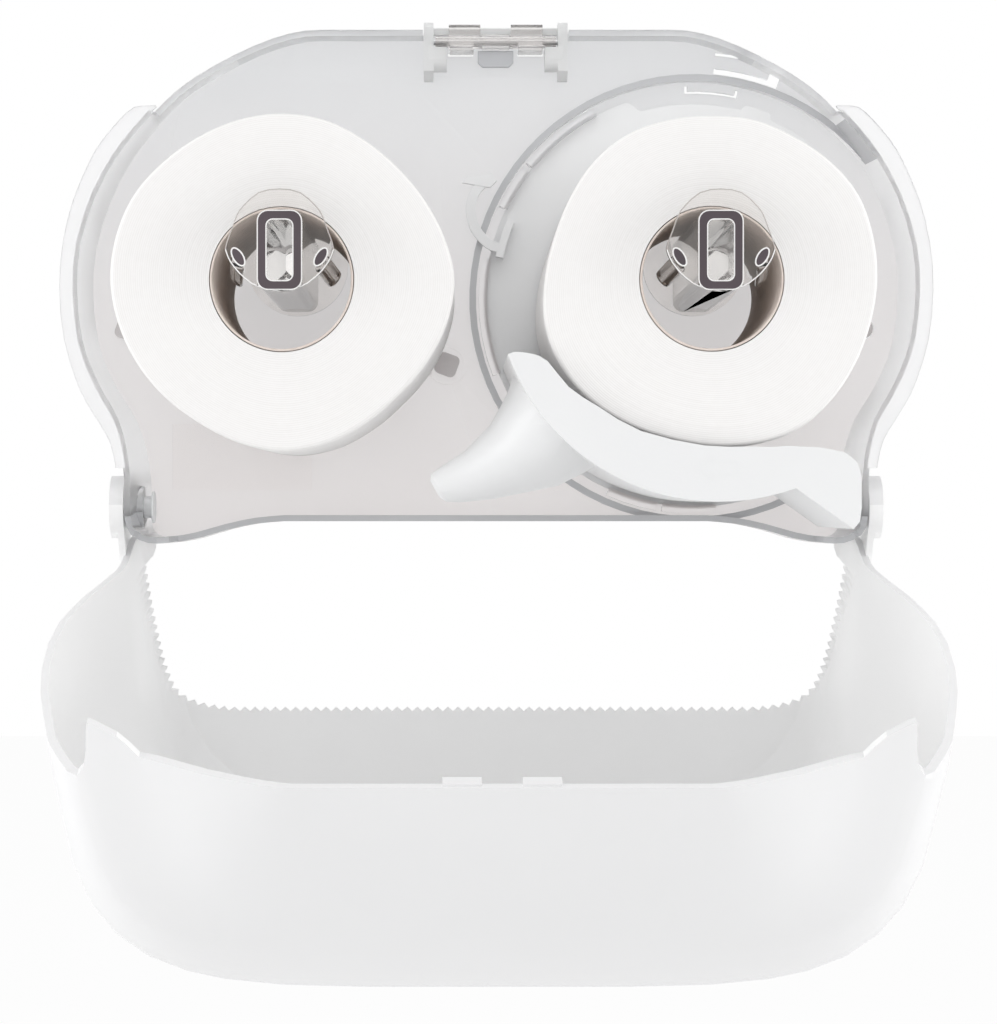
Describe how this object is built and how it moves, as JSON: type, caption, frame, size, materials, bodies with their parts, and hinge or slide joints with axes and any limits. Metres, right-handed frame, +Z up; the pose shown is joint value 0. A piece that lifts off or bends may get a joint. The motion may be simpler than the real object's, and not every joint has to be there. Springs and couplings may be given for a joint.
{
  "type": "toilet roll dispenser",
  "caption": "Wall-mounted twin toilet roll dispenser, opened for loading: clear housing, hanging rolls, turning shutter with lever and a drop-down cover with toothed edge.",
  "frame": {"origin": "on the flat back of the rear housing, midway between the two roll spindles and level with them", "axes": "+Z up, +X to the right seen from the front, +Y into the wall that carries the housing"},
  "size_m": [0.3172, 0.2436, 0.3529],
  "materials": {
    "smoked_plastic": "smoky translucent moulding",
    "white_plastic": "white glossy moulding",
    "clear_plastic": "clear moulding",
    "paper": "soft wound tissue",
    "card": "brown card",
    "grey_plastic": "light grey moulding",
    "latch_plastic": "milky clear moulding",
    "steel": "bright wire",
    "dark_plastic": "dark grey moulding",
    "rubber": "black rubber",
    "label_film": "blank film label"
  },
  "bodies": {
    "housing": {"rear_housing": "smoked_plastic", "hinge_pin_left": "grey_plastic", "hinge_pin_right": "grey_plastic", "spindle_left": "clear_plastic", "spindle_right": "clear_plastic", "latch_bracket": "latch_plastic", "latch_pivot_pin": "steel", "screw_hole_plug_1": "rubber", "screw_hole_plug_2": "rubber", "screw_hole_plug_3": "rubber", "screw_hole_plug_4": "rubber", "blank_label": "label_film"},
    "cover": {"cover": "white_plastic"},
    "left_roll": {"paper_roll_left": "paper", "roll_core_left": "card"},
    "right_roll": {"paper_roll_right": "paper", "roll_core_right": "card"},
    "shutter": {"shutter_disc": "grey_plastic", "shutter_trough": "grey_plastic"},
    "latch": {"latch_lever": "clear_plastic", "latch_release_tab": "dark_plastic"}
  },
  "joints": [
    {"name": "cover_hinge", "type": "hinge", "parent": "housing", "child": "cover", "pos_m": [0, -0.012, -0.0893], "axis": [-1, 0, 0], "range_deg": [0, 119.5]},
    {"name": "left_roll_spin", "type": "hinge", "parent": "housing", "child": "left_roll", "pos_m": [-0.0732, 0, -0.0127], "axis": [0, 1, 0], "continuous": true},
    {"name": "right_roll_spin", "type": "hinge", "parent": "housing", "child": "right_roll", "pos_m": [0.0712, 0, -0.01254], "axis": [0, 1, 0], "continuous": true},
    {"name": "shutter_turn", "type": "hinge", "parent": "housing", "child": "shutter", "pos_m": [0.0732, 0, -0.0123], "axis": [0, 1, 0], "range_deg": [0, 10]},
    {"name": "latch_rock", "type": "hinge", "parent": "housing", "child": "latch", "pos_m": [0, -0.0072, 0.0826], "axis": [1, 0, 0], "range_deg": [0, 10], "stiffness_Nm_per_rad": 0.05, "springref_deg": -5.73}
  ]
}
